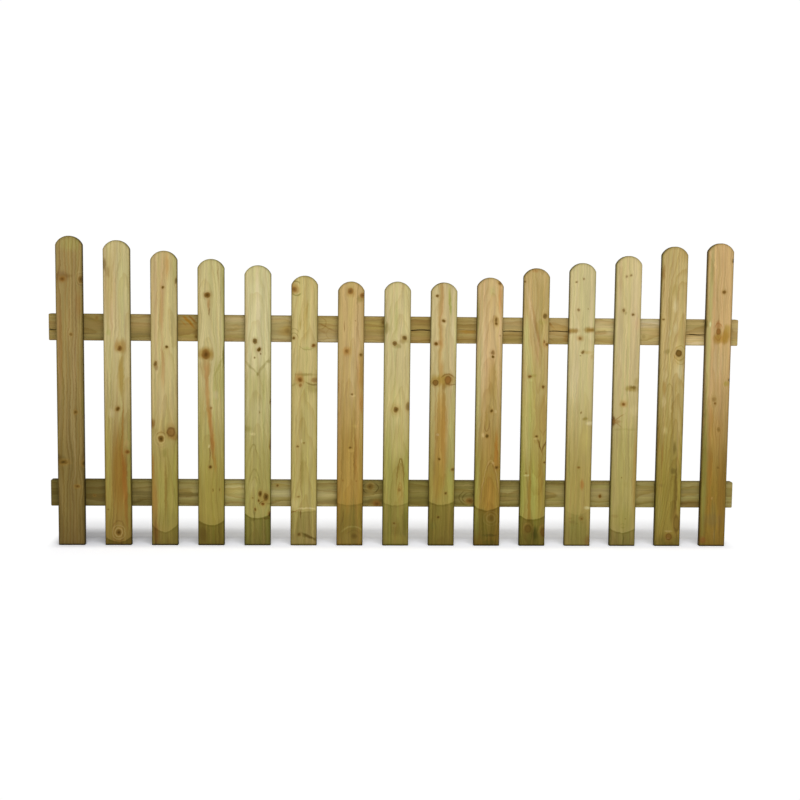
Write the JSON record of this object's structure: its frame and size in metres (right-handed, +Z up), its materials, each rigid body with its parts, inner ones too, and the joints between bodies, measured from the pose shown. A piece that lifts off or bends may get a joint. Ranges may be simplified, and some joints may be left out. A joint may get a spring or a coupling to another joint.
{
  "type": "garden fence panel",
  "caption": "Timber picket fence panel with round-headed pales in a dipped row, nailed to the front of two level rails.",
  "frame": {"origin": "on the back face of the lower rail, halfway along it and halfway up it, where the panel bears on its posts", "axes": "+X along the rails to the right as seen from the front, +Y out of the panel's back, +Z up; the pales face -Y"},
  "size_m": [1.83, 0.047, 0.8149],
  "materials": {
    "pale_timber": "planed softwood, pressure treated, pale green-brown, matt",
    "rail_timber": "planed softwood, pressure treated, darker green-brown, matt"
  },
  "bodies": {
    "root": {"pale_01": "pale_timber", "pale_02": "pale_timber", "pale_03": "pale_timber", "pale_04": "pale_timber", "pale_05": "pale_timber", "pale_06": "pale_timber", "pale_07": "pale_timber", "pale_08": "pale_timber", "pale_09": "pale_timber", "pale_10": "pale_timber", "pale_11": "pale_timber", "pale_12": "pale_timber", "pale_13": "pale_timber", "pale_14": "pale_timber", "pale_15": "pale_timber", "lower_rail": "rail_timber", "upper_rail": "rail_timber"}
  },
  "joints": []
}
